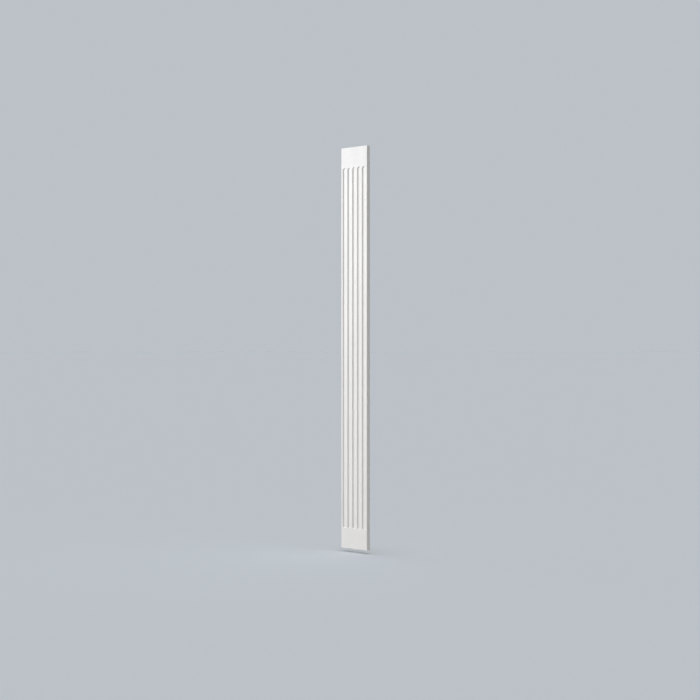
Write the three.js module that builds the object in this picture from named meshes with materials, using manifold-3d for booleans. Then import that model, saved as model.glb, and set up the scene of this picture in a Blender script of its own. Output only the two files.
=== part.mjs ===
// Fluted pilaster shaft: one moulded board, made to be fixed by its flat back, with five stopped flutes
// sunk in its face.
// Millimetres, +Z up. The back lies in the plane Y = 0, the face looks along -Y, and the origin is the
// middle of the back.
import * as THREE from "three";
import { mergeVertices } from "three/addons/utils/BufferGeometryUtils.js";
import Module from "manifold-3d";

// The board
const HEIGHT = 2000;
const WIDTH = 180;
const THICKNESS = 21;
const EDGE_ROUND = 1.5; // radius along the two long edges of the face

// The flutes: flat floors, coved sides and half-round ends
const FLUTE_COUNT = 5;
const FLUTE_WIDTH = 25;
const FLUTE_PITCH = 33.8;
const FLUTE_DEPTH = 2.5; // also the radius of the cove between side and floor
const PLAIN_END = 101; // plain face left above and below the flutes

// Facets that the round forms are cut into
const EDGE_FACETS = 4;
const COVE_FACETS = 4;
const FLUTE_END_FACETS = 24; // an even number, round each half circle

const wasm = await Module();
wasm.setup();

// A closed geometry as a solid that can be cut
function solidFrom(geometry) {
  const bare = geometry.clone();
  bare.deleteAttribute("normal");
  bare.deleteAttribute("uv");
  const merged = mergeVertices(bare, 1e-4);
  return new wasm.Manifold(
    new wasm.Mesh({
      numProp: 3,
      vertProperties: new Float32Array(merged.attributes.position.array),
      triVerts: new Uint32Array(merged.index.array),
    }),
  );
}

function geometryFrom(solid) {
  const mesh = solid.getMesh();
  const geometry = new THREE.BufferGeometry();
  geometry.setAttribute("position", new THREE.BufferAttribute(mesh.vertProperties, 3));
  geometry.setIndex(new THREE.BufferAttribute(mesh.triVerts, 1));
  geometry.computeVertexNormals();
  return geometry;
}

// The board's section, seen from above, drawn out along its height
function boardBlank() {
  const side = WIDTH / 2;
  const turnX = side - EDGE_ROUND;
  const turnY = -THICKNESS + EDGE_ROUND;
  const section = new THREE.Shape();
  section.moveTo(side, 0);
  section.lineTo(-side, 0);
  section.lineTo(-side, turnY);
  section.absarc(-turnX, turnY, EDGE_ROUND, Math.PI, 1.5 * Math.PI, false);
  section.lineTo(turnX, -THICKNESS);
  section.absarc(turnX, turnY, EDGE_ROUND, 1.5 * Math.PI, 2 * Math.PI, false);
  section.closePath();
  const blank = new THREE.ExtrudeGeometry(section, {
    depth: HEIGHT,
    curveSegments: EDGE_FACETS / 2,
    bevelEnabled: false,
  });
  return blank.translate(0, 0, -HEIGHT / 2);
}

// The middle line of each flute, from left to right
function fluteCentres() {
  return Array.from({ length: FLUTE_COUNT }, (_, i) => (i - (FLUTE_COUNT - 1) / 2) * FLUTE_PITCH);
}

// What is cut away for one flute: a long slot with round ends. Its bevel, as deep as it is wide, leaves
// the cove round the flute's floor, and its straight part stands out in front of the face.
function fluteCutter(centre) {
  const radius = FLUTE_WIDTH / 2;
  const reach = HEIGHT / 2 - PLAIN_END - radius;
  const outline = new THREE.Shape();
  outline.moveTo(centre + radius, -reach);
  outline.lineTo(centre + radius, reach);
  outline.absarc(centre, reach, radius, 0, Math.PI, false);
  outline.lineTo(centre - radius, -reach);
  outline.absarc(centre, -reach, radius, Math.PI, 2 * Math.PI, false);
  const cutter = new THREE.ExtrudeGeometry(outline, {
    depth: FLUTE_DEPTH,
    curveSegments: FLUTE_END_FACETS / 2,
    bevelEnabled: true,
    bevelThickness: FLUTE_DEPTH,
    bevelSize: FLUTE_DEPTH,
    bevelOffset: -FLUTE_DEPTH,
    bevelSegments: COVE_FACETS,
  });
  return cutter.rotateX(Math.PI / 2).translate(0, -THICKNESS, 0);
}

function flutedBoard() {
  let board = solidFrom(boardBlank());
  for (const centre of fluteCentres()) {
    board = board.subtract(solidFrom(fluteCutter(centre)));
  }
  return geometryFrom(board);
}

const primedFoam = new THREE.MeshStandardMaterial({
  name: "primed_foam",
  color: 0xf1f1ef,
  roughness: 0.6,
  metalness: 0,
});

const shaft = new THREE.Mesh(flutedBoard(), primedFoam);
shaft.name = "fluted_shaft";

const pilaster = new THREE.Group();
pilaster.name = "fluted_pilaster";
pilaster.add(shaft);

export default pilaster;
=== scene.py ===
# Fluted pilaster shaft: one moulded board of rigid foam, primed white, with five stopped flutes in its
# face. Metres, +Z up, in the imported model's frame: the back lies in the plane y = 0, the face looks
# along -y, and the origin is the middle of the back.
import math

import bmesh
import bpy
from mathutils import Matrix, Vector


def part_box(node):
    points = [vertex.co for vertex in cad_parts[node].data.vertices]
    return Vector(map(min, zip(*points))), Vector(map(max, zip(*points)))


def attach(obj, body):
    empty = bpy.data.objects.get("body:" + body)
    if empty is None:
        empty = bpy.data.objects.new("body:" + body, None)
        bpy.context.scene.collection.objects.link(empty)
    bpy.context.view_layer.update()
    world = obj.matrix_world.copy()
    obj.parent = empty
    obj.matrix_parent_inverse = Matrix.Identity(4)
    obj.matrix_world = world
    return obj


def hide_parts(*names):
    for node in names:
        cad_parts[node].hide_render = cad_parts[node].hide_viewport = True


MM = 0.001

# The flutes, as the solid has them
FLUTE_COUNT = 5
FLUTE_WIDTH = 25 * MM
FLUTE_PITCH = 33.8 * MM
FLUTE_DEPTH = 2.5 * MM
PLAIN_END = 101 * MM  # plain face above and below the flutes

# Rounding of the moulded edges, which the primer softens
FACE_EDGE_ROUND = 1.5 * MM  # the two long edges of the face
BACK_EDGE_ROUND = 0.7 * MM
END_EDGE_ROUND = 0.6 * MM  # the sawn head and foot
BRIM_ROUND = 0.5 * MM  # where a flute's side turns into the face
SMALLEST_ROUND = 0.05 * MM
FLAT_BORDER = 0.4 * MM  # a narrow flat strip beside each rounding, so that the flats shade flat

# How finely the round forms are cut
EDGE_STEPS = 6
BRIM_STEPS = 4
COVE_STEPS = 7
FLUTE_OUTLINE_POINTS = 96  # a multiple of four
WELD_GAP = 0.01 * MM
BACK_FACING = 0.99  # how squarely a face of the bare back looks backward

# The primer on the face, the edges and the ends
PRIMER_COLOUR = (0.850, 0.842, 0.818)
PRIMER_DRIFT_COLOUR = (0.830, 0.822, 0.800)
ARRIS_HIGHLIGHT_COLOUR = (0.88, 0.872, 0.85)  # a painted highlight: a lighter tone along the arrises
ARRIS_HIGHLIGHT_SHARE = 0.5
PRIMER_RELIEF = 0.1 * MM

# The bare foam of the back
FOAM_COLOUR = (0.83, 0.795, 0.715)
FOAM_DRIFT_COLOUR = (0.79, 0.75, 0.665)
FOAM_RELIEF = 0.2 * MM
CELLS_PER_METRE = 700
WIDEST_CELL = 0.5  # the reach of the widest cut cell, as a share of the cells' spacing
# How much darker a cut cell is in its middle: painted shade in the pits
CELL_PAINTED_SHADE = 0.35
SANDING_LINES_PER_METRE = 420
SANDING_CONTRAST = 0.14

# A drawn out pattern's scale along the board, as a share of its scale across it
SANDING_STRETCH = 0.05
DRIFT_STRETCH = 0.25

# The view: level, and turned to the right of square on
IMAGE_SIZE = 700
SENSOR_WIDTH_MM = 36
FOCAL_LENGTH_PIXELS = 1532
VIEW_TURN = math.radians(45)
HORIZON_ROW = 347.97
RIGHT_EDGE_COLUMN = 367.0  # where the face's right edge stands in the image
RIGHT_EDGE_DEPTH = 7.557  # how far in front of the camera that edge is

# The soft light all round, and the floor. The first three colours are radiances: 1 from all round
# lights a white matt face to full white.
BACKDROP = (0.50, 0.535, 0.575)
FRONT_LIGHT = (0.615, 0.563, 0.524)
REAR_LIGHT = (0.10, 0.083, 0.056)
LIGHT_CHANGE = 0.15  # how gently the front light passes into the rear light
FLOOR_COLOUR = (0.78, 0.85, 0.92)
FLOOR_LIGHT_SPREAD = math.radians(20)
FLOOR_DROP = 18 * MM  # the shaft is hung with its foot clear of the floor
FLOOR_RADIUS = 400
FLOOR_CORNERS = 96

# The key lamp up to the left, and the net that shades the board's left edge from it
KEY_TURN = math.radians(71.7)  # round to the left from square on
KEY_RISE = math.radians(22)
KEY_DISTANCE = 4.3
KEY_RADIUS = 0.2
KEY_COLOUR = (0.92, 0.948, 1.0)
KEY_WATTS = 1062
KEY_BEAM = math.radians(64)
NET_GAP = 30 * MM  # from the board's left edge to the net
NET_PASSES = 0.2  # the share of the light that comes through the net

# The lamp behind the board
BACK_FILL_WAY = Vector((-0.33, 0.85, 0.35))
BACK_FILL_WATTS = 2.1  # per square metre
BACK_FILL_SPREAD = math.radians(40)


def feed(tree, node, inputs):
    """Sets a node's inputs, by name or by number, to plain values or to other nodes' sockets."""
    for name, value in inputs.items():
        socket = node.inputs[name]
        if isinstance(value, bpy.types.NodeSocket):
            tree.links.new(value, socket)
        else:
            socket.default_value = value


def add_node(tree, kind, inputs=None, **settings):
    node = tree.nodes.new(kind)
    for name, value in settings.items():
        setattr(node, name, value)
    feed(tree, node, inputs or {})
    return node


def calculate(tree, operation, *values):
    return add_node(tree, "ShaderNodeMath", dict(enumerate(values)), operation=operation).outputs[0]


def vector(tree, **parts):
    return add_node(tree, "ShaderNodeCombineXYZ", parts).outputs[0]


def part_along(tree, axis, source):
    """The part of a place or a direction along one axis."""
    return add_node(tree, "ShaderNodeSeparateXYZ", {0: source}).outputs[axis]


def new_tree(name, kind, inputs, outputs):
    """A node tree with named inputs and outputs. Returns the tree and its two end nodes."""
    tree = bpy.data.node_groups.new(name, kind)
    for side, sockets in (("INPUT", inputs), ("OUTPUT", outputs)):
        for socket_name, socket_type in sockets.items():
            tree.interface.new_socket(name=socket_name, in_out=side, socket_type=socket_type)
    return tree, tree.nodes.new("NodeGroupInput"), tree.nodes.new("NodeGroupOutput")


def joined(tree, *parts):
    """Joins parts in the order given. The node takes the newest link first."""
    join = tree.nodes.new("GeometryNodeJoinGeometry")
    for part in reversed(parts):
        tree.links.new(part, join.inputs[0])
    return join.outputs[0]


def moved(tree, geometry, **changes):
    return add_node(tree, "GeometryNodeTransform", {"Geometry": geometry, **changes}).outputs[0]


def filled(tree, curve):
    return add_node(tree, "GeometryNodeFillCurve", {"Curve": curve}, mode="TRIANGLES").outputs[0]


def welded(tree, mesh, sizes):
    return add_node(
        tree, "GeometryNodeMergeByDistance", {"Geometry": mesh, "Distance": sizes["Weld Gap"]}
    ).outputs[0]


def finished(tree, mesh, finish, **chosen):
    return add_node(
        tree, "GeometryNodeSetMaterial", {"Geometry": mesh, "Material": finish, **chosen}
    ).outputs[0]


def marked_as_arris(tree, curve):
    """Writes how far into a rounding each point is: 0 at its two ends and 1 in the middle."""
    along = add_node(tree, "GeometryNodeSplineParameter").outputs["Factor"]
    bow = calculate(tree, "SINE", calculate(tree, "MULTIPLY", along, math.pi))
    return add_node(
        tree,
        "GeometryNodeStoreNamedAttribute",
        {"Geometry": curve, "Name": "arris", "Value": bow},
        data_type="FLOAT",
        domain="POINT",
    ).outputs[0]


def flute_side_section(tree, sizes):
    """The flute's side in section: x runs into the flute from its outline, and y is the depth."""
    border, brim, depth = sizes["Flat Border"], sizes["Brim Round"], sizes["Flute Depth"]
    cove = calculate(tree, "SUBTRACT", depth, brim)
    brim_end = calculate(tree, "ADD", border, brim)
    cove_end = calculate(tree, "ADD", brim_end, cove)
    floor_in = calculate(tree, "ADD", cove_end, border)

    def point(x, y):
        return vector(tree, X=x, Y=y)

    def strip(start, end):
        return add_node(tree, "GeometryNodeCurvePrimitiveLine", {"Start": start, "End": end}).outputs[0]

    def quarter(radius, start_angle, sweep, centre, points):
        arc = add_node(
            tree,
            "GeometryNodeCurveArc",
            {"Resolution": points, "Radius": radius, "Start Angle": start_angle, "Sweep Angle": sweep},
        ).outputs[0]
        return moved(tree, arc, Translation=centre)

    land = strip(point(0.0, 0.0), point(border, 0.0))
    rounding = quarter(brim, -math.pi / 2, math.pi / 2, point(border, brim), sizes["Brim Points"])
    rounding = marked_as_arris(tree, rounding)
    hollow = quarter(cove, math.pi, -math.pi / 2, point(cove_end, brim), sizes["Cove Points"])
    floor_strip = strip(point(cove_end, depth), point(floor_in, depth))
    return joined(tree, land, rounding, hollow, floor_strip)


def flute_outline(tree, sizes):
    """A long slot's outline with half-round ends, in the XY plane: a circle pulled apart along Y."""
    half = calculate(tree, "DIVIDE", sizes["Flute Width"], 2.0)
    brim_and_border = calculate(tree, "ADD", sizes["Brim Round"], sizes["Flat Border"])
    radius = calculate(tree, "ADD", half, brim_and_border)
    reach = calculate(tree, "SUBTRACT", calculate(tree, "DIVIDE", sizes["Flute Length"], 2.0), half)
    points = sizes["Outline Points"]
    ring = add_node(
        tree, "GeometryNodeCurvePrimitiveCircle", {"Resolution": points, "Radius": radius}
    ).outputs[0]
    # Half a step's turn leaves no point on the line where the circle parts
    half_step = calculate(tree, "DIVIDE", math.pi, points)
    ring = moved(tree, ring, Rotation=vector(tree, Z=half_step))
    height = part_along(tree, "Y", add_node(tree, "GeometryNodeInputPosition").outputs[0])
    pull = calculate(tree, "MULTIPLY", calculate(tree, "SIGN", height), reach)
    return add_node(
        tree, "GeometryNodeSetPosition", {"Geometry": ring, "Offset": vector(tree, Y=pull)}
    ).outputs[0]


def flute_floor_rim(tree, sizes, sides):
    """The lower open edge of a flute's sides, as a curve."""
    faces_beside = add_node(tree, "GeometryNodeInputMeshEdgeNeighbors").outputs[0]
    whole_numbers = {2: faces_beside, 3: 1}  # the comparison's sockets for whole numbers
    is_open = add_node(
        tree, "FunctionNodeCompare", whole_numbers, data_type="INT", operation="EQUAL"
    ).outputs[0]
    height = part_along(tree, "Z", add_node(tree, "GeometryNodeInputPosition").outputs[0])
    half_depth = calculate(tree, "MULTIPLY", sizes["Flute Depth"], -0.5)
    is_deep = calculate(tree, "LESS_THAN", height, half_depth)
    both = add_node(
        tree, "FunctionNodeBooleanMath", {0: is_open, 1: is_deep}, operation="AND"
    ).outputs[0]
    return add_node(tree, "GeometryNodeMeshToCurve", {"Mesh": sides, "Selection": both}).outputs[0]


def one_flute(tree, sizes, outline):
    """A flute's sides, swept round its outline, and its flat floor."""
    inward = add_node(tree, "GeometryNodeReverseCurve", {"Curve": outline}).outputs[0]
    upright = add_node(tree, "GeometryNodeSetCurveNormal", {"Curve": inward}, mode="Z_UP").outputs[0]
    sides = add_node(
        tree,
        "GeometryNodeCurveToMesh",
        {"Curve": upright, "Profile Curve": flute_side_section(tree, sizes)},
    ).outputs[0]
    sides = welded(tree, sides, sizes)
    floor = filled(tree, flute_floor_rim(tree, sizes, sides))
    down = vector(tree, Z=calculate(tree, "MULTIPLY", sizes["Flute Depth"], -1.0))
    return joined(tree, sides, moved(tree, floor, Translation=down))


def in_a_row(tree, sizes, item):
    """Copies of a flute or of its outline, side by side across the face."""
    gaps = calculate(tree, "SUBTRACT", sizes["Flutes"], 1.0)
    span = calculate(tree, "MULTIPLY", sizes["Flute Pitch"], gaps)
    start = calculate(tree, "MULTIPLY", span, -0.5)
    row = add_node(
        tree,
        "GeometryNodeMeshLine",
        {
            "Count": sizes["Flutes"],
            "Start Location": vector(tree, X=start),
            "Offset": vector(tree, X=sizes["Flute Pitch"]),
        },
    ).outputs[0]
    copies = add_node(
        tree, "GeometryNodeInstanceOnPoints", {"Points": row, "Instance": item}
    ).outputs[0]
    return add_node(tree, "GeometryNodeRealizeInstances", {"Geometry": copies}).outputs[0]


def fluted_face(tree, sizes):
    """The face with its row of flutes: made lying in the XY plane, then stood up where the front is."""
    outline = flute_outline(tree, sizes)
    flutes = in_a_row(tree, sizes, one_flute(tree, sizes, outline))
    face_line = add_node(
        tree,
        "GeometryNodeCurvePrimitiveQuadrilateral",
        {"Width": sizes["Face Width"], "Height": sizes["Face Height"]},
    ).outputs[0]
    plate = filled(tree, joined(tree, face_line, in_a_row(tree, sizes, outline)))
    forward = vector(tree, Y=calculate(tree, "MULTIPLY", sizes["Face Stand"], -1.0))
    upright = (math.pi / 2, 0.0, 0.0)
    return moved(tree, joined(tree, plate, flutes), Translation=forward, Rotation=upright)


def fluted_board_tree():
    """Closes the open front of a plain board with a fluted face, and gives the whole its two finishes."""
    lengths = (
        "Face Width",
        "Face Height",
        "Face Stand",
        "Flute Width",
        "Flute Length",
        "Flute Pitch",
        "Flute Depth",
        "Brim Round",
        "Flat Border",
        "Weld Gap",
    )
    numbers = ("Flutes", "Outline Points", "Brim Points", "Cove Points")
    inputs = {"Board": "NodeSocketGeometry"}
    inputs.update({name: "NodeSocketFloat" for name in lengths})
    inputs.update({name: "NodeSocketInt" for name in numbers})
    inputs.update({"Face Finish": "NodeSocketMaterial", "Back Finish": "NodeSocketMaterial"})
    tree, given, result = new_tree(
        "fluted_board", "GeometryNodeTree", inputs, {"Board": "NodeSocketGeometry"}
    )
    sizes = given.outputs

    whole = welded(tree, joined(tree, sizes["Board"], fluted_face(tree, sizes)), sizes)
    whole = add_node(tree, "GeometryNodeSetShadeSmooth", {"Geometry": whole}).outputs[0]
    whole = add_node(tree, "GeometryNodeRealizeInstances", {"Geometry": whole}).outputs[0]
    whole = finished(tree, whole, sizes["Face Finish"])
    backward = part_along(tree, "Y", add_node(tree, "GeometryNodeInputNormal").outputs[0])
    is_back = calculate(tree, "GREATER_THAN", backward, BACK_FACING)
    whole = finished(tree, whole, sizes["Back Finish"], Selection=is_back)
    feed(tree, result, {"Board": whole})
    return tree


def set_tree_inputs(modifier, values):
    """Sets a Geometry Nodes modifier's inputs, found by name, through their identifiers."""
    for item in modifier.node_group.interface.items_tree:
        if item.item_type == "SOCKET" and item.in_out == "INPUT" and item.name in values:
            modifier[item.identifier] = values[item.name]


def beside(point, angle, step):
    """A point of the section on the flat next to a rounding's end."""
    return (point[0] - step * math.sin(angle), point[1] + step * math.cos(angle), 0.0)


def section_points(width, thickness, inset):
    """The board's section shrunk by an inset, from the back left corner round by the face.
    Each point is its x, its y and how far it is into a rounding."""
    corners = (
        (-1, True, math.pi / 2, BACK_EDGE_ROUND),
        (-1, False, math.pi, FACE_EDGE_ROUND),
        (1, False, 1.5 * math.pi, FACE_EDGE_ROUND),
        (1, True, 2 * math.pi, BACK_EDGE_ROUND),
    )
    points = []
    for side, at_back, start, full_round in corners:
        radius = max(full_round - inset, SMALLEST_ROUND)
        centre_x = side * (width / 2 - inset - radius)
        centre_y = -inset - radius if at_back else -thickness + inset + radius
        arc = [start + math.pi / 2 * i / EDGE_STEPS for i in range(EDGE_STEPS + 1)]
        ring = [
            (centre_x + radius * math.cos(a), centre_y + radius * math.sin(a), math.sin(2 * (a - start)))
            for a in arc
        ]
        points.append(beside(ring[0], arc[0], -FLAT_BORDER))
        points.extend(ring)
        points.append(beside(ring[-1], arc[-1], FLAT_BORDER))
    return points


def board_layers(height):
    """Heights from foot to head, each with the section's inset there and how far it is into a rounding."""
    top = height / 2
    upper = [(top - END_EDGE_ROUND - FLAT_BORDER, 0.0, 0.0)]
    for i in range(EDGE_STEPS + 1):
        turn = math.pi / 2 * i / EDGE_STEPS
        rise = END_EDGE_ROUND * math.sin(turn)
        inset = END_EDGE_ROUND * (1 - math.cos(turn))
        upper.append((top - END_EDGE_ROUND + rise, inset, math.sin(2 * turn)))
    upper.append((top, END_EDGE_ROUND + FLAT_BORDER, 0.0))
    lower = [(-z, inset, arris) for z, inset, arris in reversed(upper)]
    return lower + upper


def mesh_from(name, built):
    mesh = bpy.data.meshes.new(name)
    built.to_mesh(mesh)
    built.free()
    return mesh


def plain_board(width, thickness, height):
    """The board's back, edges and ends, with rounded arrises, and its face left open."""
    built = bmesh.new()
    arris = built.verts.layers.float.new("arris")
    rings = []
    layers = board_layers(height)
    for z, inset, end_arris in layers:
        ring = []
        for x, y, side_arris in section_points(width, thickness, inset):
            corner = built.verts.new((x, y, z))
            corner[arris] = max(side_arris, end_arris)
            ring.append(corner)
        rings.append(ring)
    count = len(rings[0])
    face_start = count // 2 - 1  # the last point before the open face
    long_layer = len(layers) // 2 - 1
    for level, (below, above) in enumerate(zip(rings, rings[1:])):
        for i in range(count):
            if level == long_layer and i == face_start:
                continue
            j = (i + 1) % count
            built.faces.new((below[i], below[j], above[j], above[i]))
    built.faces.new(list(reversed(rings[0])))
    built.faces.new(rings[-1])
    return mesh_from("plain_board", built)


def in_scene(name, content):
    """A new object in the scene, at the origin: a mesh, a lamp or a camera."""
    thing = bpy.data.objects.new(name, content)
    bpy.context.collection.objects.link(thing)
    return thing


def fluted_board(box, face_finish, back_finish):
    """The dressed board, as one plain mesh in the same box as the solid."""
    low, high = box
    width, thickness, height = high - low
    piece = in_scene("primed_board", plain_board(width, thickness, height))
    modifier = piece.modifiers.new("Flutes", "NODES")
    modifier.node_group = fluted_board_tree()
    set_tree_inputs(
        modifier,
        {
            "Face Width": width - 2 * (FACE_EDGE_ROUND + FLAT_BORDER),
            "Face Height": height - 2 * (END_EDGE_ROUND + FLAT_BORDER),
            "Face Stand": thickness,
            "Flute Width": FLUTE_WIDTH,
            "Flute Length": height - 2 * PLAIN_END,
            "Flute Pitch": FLUTE_PITCH,
            "Flute Depth": FLUTE_DEPTH,
            "Brim Round": BRIM_ROUND,
            "Flat Border": FLAT_BORDER,
            "Weld Gap": WELD_GAP,
            "Flutes": FLUTE_COUNT,
            "Outline Points": FLUTE_OUTLINE_POINTS,
            "Brim Points": BRIM_STEPS + 1,
            "Cove Points": COVE_STEPS + 1,
            "Face Finish": face_finish,
            "Back Finish": back_finish,
        },
    )
    made = piece.evaluated_get(bpy.context.evaluated_depsgraph_get())
    mesh = bpy.data.meshes.new_from_object(made)
    mesh.materials.pop(index=0)  # an empty slot, which joining the bare parts leaves
    piece.modifiers.remove(modifier)
    piece.data = mesh
    return piece


def opaque(colour):
    return (*colour, 1.0)


def object_place(tree):
    return add_node(tree, "ShaderNodeTexCoord").outputs["Object"]


def stretched(tree, place, stretch):
    """Draws a pattern out along the board's length."""
    return add_node(
        tree, "ShaderNodeMapping", {"Vector": place, "Scale": (1.0, 1.0, stretch)}
    ).outputs[0]


def noise(tree, place, per_metre, **inputs):
    return add_node(
        tree, "ShaderNodeTexNoise", {"Vector": place, "Scale": per_metre, **inputs}
    ).outputs[0]


def smooth_step(tree, inputs):
    return add_node(
        tree, "ShaderNodeMapRange", inputs, interpolation_type="SMOOTHSTEP"
    ).outputs[0]


def mixed_colour(tree, share, first, second):
    """Mixes two colours. Inputs 6 and 7 and output 2 are the mix node's sockets for colours."""
    return add_node(
        tree, "ShaderNodeMix", {"Factor": share, 6: first, 7: second}, data_type="RGBA"
    ).outputs[2]


def grain_group():
    """Fine relief: a short grain over a longer, softer unevenness."""
    tree, given, result = new_tree(
        "fine_grain",
        "ShaderNodeTree",
        {
            "Grains per Metre": "NodeSocketFloat",
            "Waves per Metre": "NodeSocketFloat",
            "Wave Share": "NodeSocketFloat",
        },
        {"Height": "NodeSocketFloat"},
    )
    place = object_place(tree)
    grain = noise(tree, place, given.outputs["Grains per Metre"], Detail=3.0, Roughness=0.55)
    waves = noise(tree, place, given.outputs["Waves per Metre"], Detail=2.0)
    height = add_node(
        tree,
        "ShaderNodeMix",
        {"Factor": given.outputs["Wave Share"], "A": grain, "B": waves},
        data_type="FLOAT",
    ).outputs[0]
    feed(tree, result, {"Height": height})
    return tree


def drift_group():
    """Slow changes of tone over the surface, stretched along the board's length."""
    tree, given, result = new_tree(
        "tone_drift",
        "ShaderNodeTree",
        {
            "Main Colour": "NodeSocketColor",
            "Drift Colour": "NodeSocketColor",
            "Patches per Metre": "NodeSocketFloat",
        },
        {"Colour": "NodeSocketColor", "Amount": "NodeSocketFloat"},
    )
    place = stretched(tree, object_place(tree), DRIFT_STRETCH)
    patches = noise(tree, place, given.outputs["Patches per Metre"], Detail=5.0)
    amount = smooth_step(tree, {"Value": patches, "From Min": 0.3, "From Max": 0.7})
    colour = mixed_colour(tree, amount, given.outputs["Main Colour"], given.outputs["Drift Colour"])
    feed(tree, result, {"Colour": colour, "Amount": amount})
    return tree


def new_finish(name):
    """A material with a Principled shader. Returns the material, its nodes and that shader."""
    material = bpy.data.materials.new(name)
    material.use_nodes = True
    return material, material.node_tree, material.node_tree.nodes["Principled BSDF"]


def primed_white(grain, drift):
    """White primer sprayed on foam: an even, slightly pebbled coat, with a painted highlight along its
    arrises.
    """
    material, tree, shader = new_finish("primed_white")
    tone = add_node(
        tree,
        "ShaderNodeGroup",
        {
            "Main Colour": opaque(PRIMER_COLOUR),
            "Drift Colour": opaque(PRIMER_DRIFT_COLOUR),
            "Patches per Metre": 14.0,
        },
        node_tree=drift,
    ).outputs
    arris = add_node(tree, "ShaderNodeAttribute", attribute_name="arris").outputs["Fac"]
    # Painted highlight: the primer's colour is mixed towards a lighter one along the roundings of the
    # arrises
    arris_highlight = calculate(tree, "MULTIPLY", arris, ARRIS_HIGHLIGHT_SHARE)
    roughness = add_node(
        tree, "ShaderNodeMapRange", {"Value": tone["Amount"], "To Min": 0.56, "To Max": 0.66}
    ).outputs[0]
    pebble = add_node(
        tree,
        "ShaderNodeGroup",
        {"Grains per Metre": 700.0, "Waves per Metre": 110.0, "Wave Share": 0.4},
        node_tree=grain,
    ).outputs["Height"]
    bump = add_node(
        tree, "ShaderNodeBump", {"Height": pebble, "Strength": 1.0, "Distance": PRIMER_RELIEF}
    ).outputs[0]
    feed(
        tree,
        shader,
        {
            "Base Color": mixed_colour(tree, arris_highlight, tone["Colour"], opaque(ARRIS_HIGHLIGHT_COLOUR)),
            "Roughness": roughness,
            "Specular IOR Level": 0.35,
            "Normal": bump,
        },
    )
    return material


def open_cells(tree, place):
    """The foam's cut cells: round pits, 1 at their middle and 0 outside, more of them narrow than wide."""
    cells = add_node(
        tree, "ShaderNodeTexVoronoi", {"Vector": place, "Scale": CELLS_PER_METRE}
    ).outputs
    chance = add_node(tree, "ShaderNodeSeparateColor", {"Color": cells["Color"]}).outputs[0]
    reach = calculate(tree, "MULTIPLY", calculate(tree, "POWER", chance, 2.0), WIDEST_CELL)
    return smooth_step(
        tree, {"Value": cells["Distance"], "From Max": reach, "To Min": 1.0, "To Max": 0.0}
    )


def sanded_foam(grain, drift):
    """The raw back: planed foam with open cells, darkened with painted shade, and long sanding lines,
    which no primer covers.
    """
    material, tree, shader = new_finish("sanded_foam")
    tone = add_node(
        tree,
        "ShaderNodeGroup",
        {
            "Main Colour": opaque(FOAM_COLOUR),
            "Drift Colour": opaque(FOAM_DRIFT_COLOUR),
            "Patches per Metre": 9.0,
        },
        node_tree=drift,
    ).outputs
    place = object_place(tree)
    drawn_out = stretched(tree, place, SANDING_STRETCH)
    lines = noise(tree, drawn_out, SANDING_LINES_PER_METRE, Detail=4.0, Roughness=0.7)
    pits = open_cells(tree, place)
    shade = calculate(tree, "MULTIPLY_ADD", lines, SANDING_CONTRAST, 1 - SANDING_CONTRAST / 2)
    # Painted shade: each cut cell is darkened towards its middle, where shade falls in the pit
    shade = calculate(tree, "MULTIPLY_ADD", pits, -CELL_PAINTED_SHADE, shade)
    colour = add_node(
        tree, "ShaderNodeVectorMath", {0: tone["Colour"], "Scale": shade}, operation="SCALE"
    ).outputs[0]
    fine_relief = add_node(
        tree,
        "ShaderNodeGroup",
        {"Grains per Metre": 1500.0, "Waves per Metre": 60.0, "Wave Share": 0.2},
        node_tree=grain,
    ).outputs["Height"]
    height = calculate(tree, "ADD", fine_relief, calculate(tree, "SUBTRACT", lines, pits))
    bump = add_node(
        tree, "ShaderNodeBump", {"Height": height, "Strength": 0.8, "Distance": FOAM_RELIEF}
    ).outputs[0]
    feed(
        tree,
        shader,
        {"Base Color": colour, "Roughness": 0.85, "Specular IOR Level": 0.2, "Normal": bump},
    )
    return material


def plain_material(name, shader_kind, colour):
    """A material for the studio's own things: one shader and one colour."""
    material = bpy.data.materials.new(name)
    material.use_nodes = True
    tree = material.node_tree
    tree.nodes.clear()
    shader = add_node(tree, shader_kind, {"Color": opaque(colour)}).outputs[0]
    add_node(tree, "ShaderNodeOutputMaterial", {"Surface": shader})
    return material


def staged(name, built, material):
    """Puts a mesh into the scene that isn't part of the pilaster."""
    thing = in_scene(name, mesh_from(name, built))
    thing.data.materials.append(material)
    return thing


def pale_floor(level):
    built = bmesh.new()
    bmesh.ops.create_circle(built, cap_ends=True, segments=FLOOR_CORNERS, radius=FLOOR_RADIUS)
    bmesh.ops.translate(built, verts=built.verts, vec=(0, 0, level))
    return staged("floor", built, plain_material("floor_paint", "ShaderNodeBsdfDiffuse", FLOOR_COLOUR))


def studio_world():
    """Soft light, weaker from behind the shaft than from in front, and one plain tone where it is seen."""
    world = bpy.data.worlds.new("studio")
    bpy.context.scene.world = world
    world.use_nodes = True
    tree = world.node_tree
    tree.nodes.clear()
    backward = part_along(tree, "Y", add_node(tree, "ShaderNodeTexCoord").outputs["Generated"])
    rear_share = smooth_step(
        tree, {"Value": backward, "From Min": -LIGHT_CHANGE, "From Max": LIGHT_CHANGE}
    )
    light_colour = mixed_colour(tree, rear_share, opaque(FRONT_LIGHT), opaque(REAR_LIGHT))
    light = add_node(tree, "ShaderNodeBackground", {"Color": light_colour}).outputs[0]
    seen = add_node(tree, "ShaderNodeBackground", {"Color": opaque(BACKDROP)}).outputs[0]
    is_seen = add_node(tree, "ShaderNodeLightPath").outputs["Is Camera Ray"]
    mixed = add_node(tree, "ShaderNodeMixShader", {0: is_seen, 1: light, 2: seen}).outputs[0]
    add_node(tree, "ShaderNodeOutputWorld", {"Surface": mixed})


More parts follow.
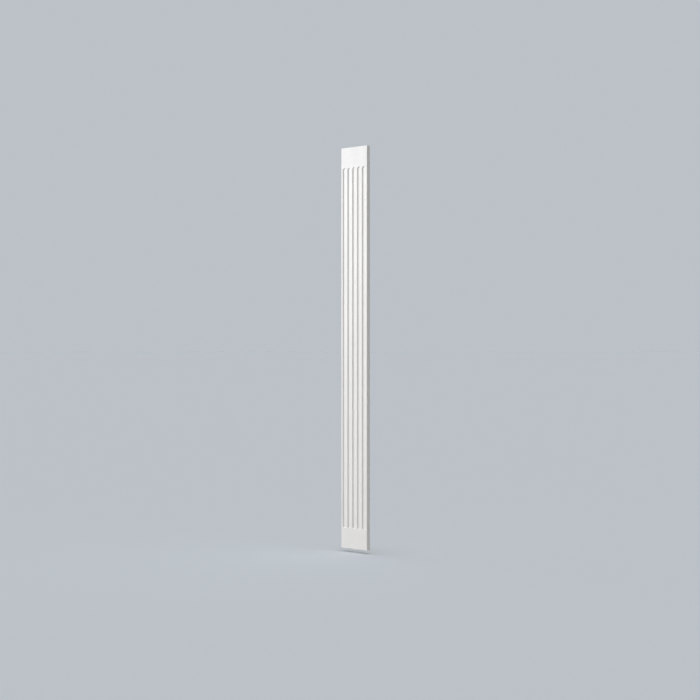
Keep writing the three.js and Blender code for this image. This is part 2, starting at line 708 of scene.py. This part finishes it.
def place_lamp(lamp, place, lit_thing):
    """Aims a lamp at the middle of the board's back. It lights one thing alone, because a lamp that lit
    both would draw the board's long shadow over the floor."""
    holder = in_scene(lamp.name, lamp)
    holder.location = place
    holder.rotation_euler = (-place).to_track_quat("-Z", "Y").to_euler()
    holder.visible_camera = False
    lit = bpy.data.collections.new("lit_by_" + lamp.name)
    lit.objects.link(lit_thing)
    holder.light_linking.receiver_collection = lit


def floor_light(floor):
    """A soft light from straight above that brings the floor to the backdrop's own tone, so that no
    horizon shows. A strength of pi lights a white matt floor to full white."""
    mean_light = [(front + rear) / 2 for front, rear in zip(FRONT_LIGHT, REAR_LIGHT)]
    missing = [
        seen / colour - light for seen, colour, light in zip(BACKDROP, FLOOR_COLOUR, mean_light)
    ]
    lamp = bpy.data.lights.new("floor_light", "SUN")
    lamp.color = [part / max(missing) for part in missing]
    lamp.energy = math.pi * max(missing)
    lamp.angle = FLOOR_LIGHT_SPREAD
    place_lamp(lamp, Vector((0, 0, 1)), floor)


def key_place():
    """Where the key lamp hangs."""
    level = Vector((-math.sin(KEY_TURN), -math.cos(KEY_TURN), 0)) * math.cos(KEY_RISE)
    return (level + Vector((0, 0, math.sin(KEY_RISE)))) * KEY_DISTANCE


def key_light(board):
    """A lamp up to the left, which rakes across the flutes and fades towards the foot."""
    lamp = bpy.data.lights.new("key", "SPOT")
    lamp.color = KEY_COLOUR
    lamp.energy = KEY_WATTS
    lamp.shadow_soft_size = KEY_RADIUS
    lamp.spot_size = KEY_BEAM
    lamp.spot_blend = 1.0
    place_lamp(lamp, key_place(), board)


def back_fill(board):
    """A weak, very soft light on the back, which the view from in front doesn't show."""
    lamp = bpy.data.lights.new("back_fill", "SUN")
    lamp.energy = BACK_FILL_WATTS
    lamp.angle = BACK_FILL_SPREAD
    place_lamp(lamp, BACK_FILL_WAY, board)


def edge_net(box):
    """A net hung beside the board, which no view shows. It takes much of the key light off the board's
    left edge, which the lamp strikes nearly square on, and none off its face, head or foot."""
    low, high = box
    lamp = key_place()
    net_x = low.x - NET_GAP
    share = NET_GAP / (low.x - lamp.x)
    arris_y = low.y + FACE_EDGE_ROUND / 2
    front_y = arris_y + (lamp.y - arris_y) * share
    foot_z = low.z + (lamp.z - low.z) * share
    head_z = high.z + (lamp.z - high.z) * share
    corners = ((front_y, foot_z), (high.y, foot_z), (high.y, head_z), (front_y, head_z))
    built = bmesh.new()
    built.faces.new([built.verts.new((net_x, y, z)) for y, z in corners])
    gauze = plain_material("net_gauze", "ShaderNodeBsdfTransparent", (NET_PASSES,) * 3)
    net = staged("edge_net", built, gauze)
    for rays in ("camera", "diffuse", "glossy", "transmission", "volume_scatter"):
        setattr(net, "visible_" + rays, False)


def photo_camera(box):
    """A level camera that sees the board where the photograph shows it."""
    low, high = box
    camera = bpy.data.cameras.new("camera")
    camera.sensor_width = SENSOR_WIDTH_MM
    camera.lens = SENSOR_WIDTH_MM * FOCAL_LENGTH_PIXELS / IMAGE_SIZE
    camera.clip_end = FLOOR_RADIUS
    camera.shift_y = (HORIZON_ROW - IMAGE_SIZE / 2) / IMAGE_SIZE
    holder = in_scene("camera", camera)
    forward = Vector((-math.sin(VIEW_TURN), math.cos(VIEW_TURN), 0))
    right = Vector((math.cos(VIEW_TURN), math.sin(VIEW_TURN), 0))
    aside = (RIGHT_EDGE_COLUMN - IMAGE_SIZE / 2) / FOCAL_LENGTH_PIXELS * RIGHT_EDGE_DEPTH
    right_edge = Vector((high.x, low.y, 0))
    holder.location = right_edge - forward * RIGHT_EDGE_DEPTH - right * aside
    holder.rotation_euler = forward.to_track_quat("-Z", "Y").to_euler()
    bpy.context.scene.camera = holder


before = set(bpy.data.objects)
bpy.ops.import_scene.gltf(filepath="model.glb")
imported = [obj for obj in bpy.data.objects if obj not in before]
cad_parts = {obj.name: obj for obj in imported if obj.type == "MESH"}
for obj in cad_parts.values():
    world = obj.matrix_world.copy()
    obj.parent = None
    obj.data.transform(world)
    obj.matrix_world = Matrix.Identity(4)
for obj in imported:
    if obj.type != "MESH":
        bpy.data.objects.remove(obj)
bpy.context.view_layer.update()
shaft_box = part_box("fluted_shaft")
photo_camera(shaft_box)
bpy.context.scene.view_settings.view_transform = "Standard"

grain = grain_group()
drift = drift_group()
board = fluted_board(shaft_box, primed_white(grain, drift), sanded_foam(grain, drift))
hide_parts("fluted_shaft")
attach(board, "root")

floor_light(pale_floor(shaft_box[0].z - FLOOR_DROP))
studio_world()
key_light(board)
back_fill(board)
edge_net(shaft_box)
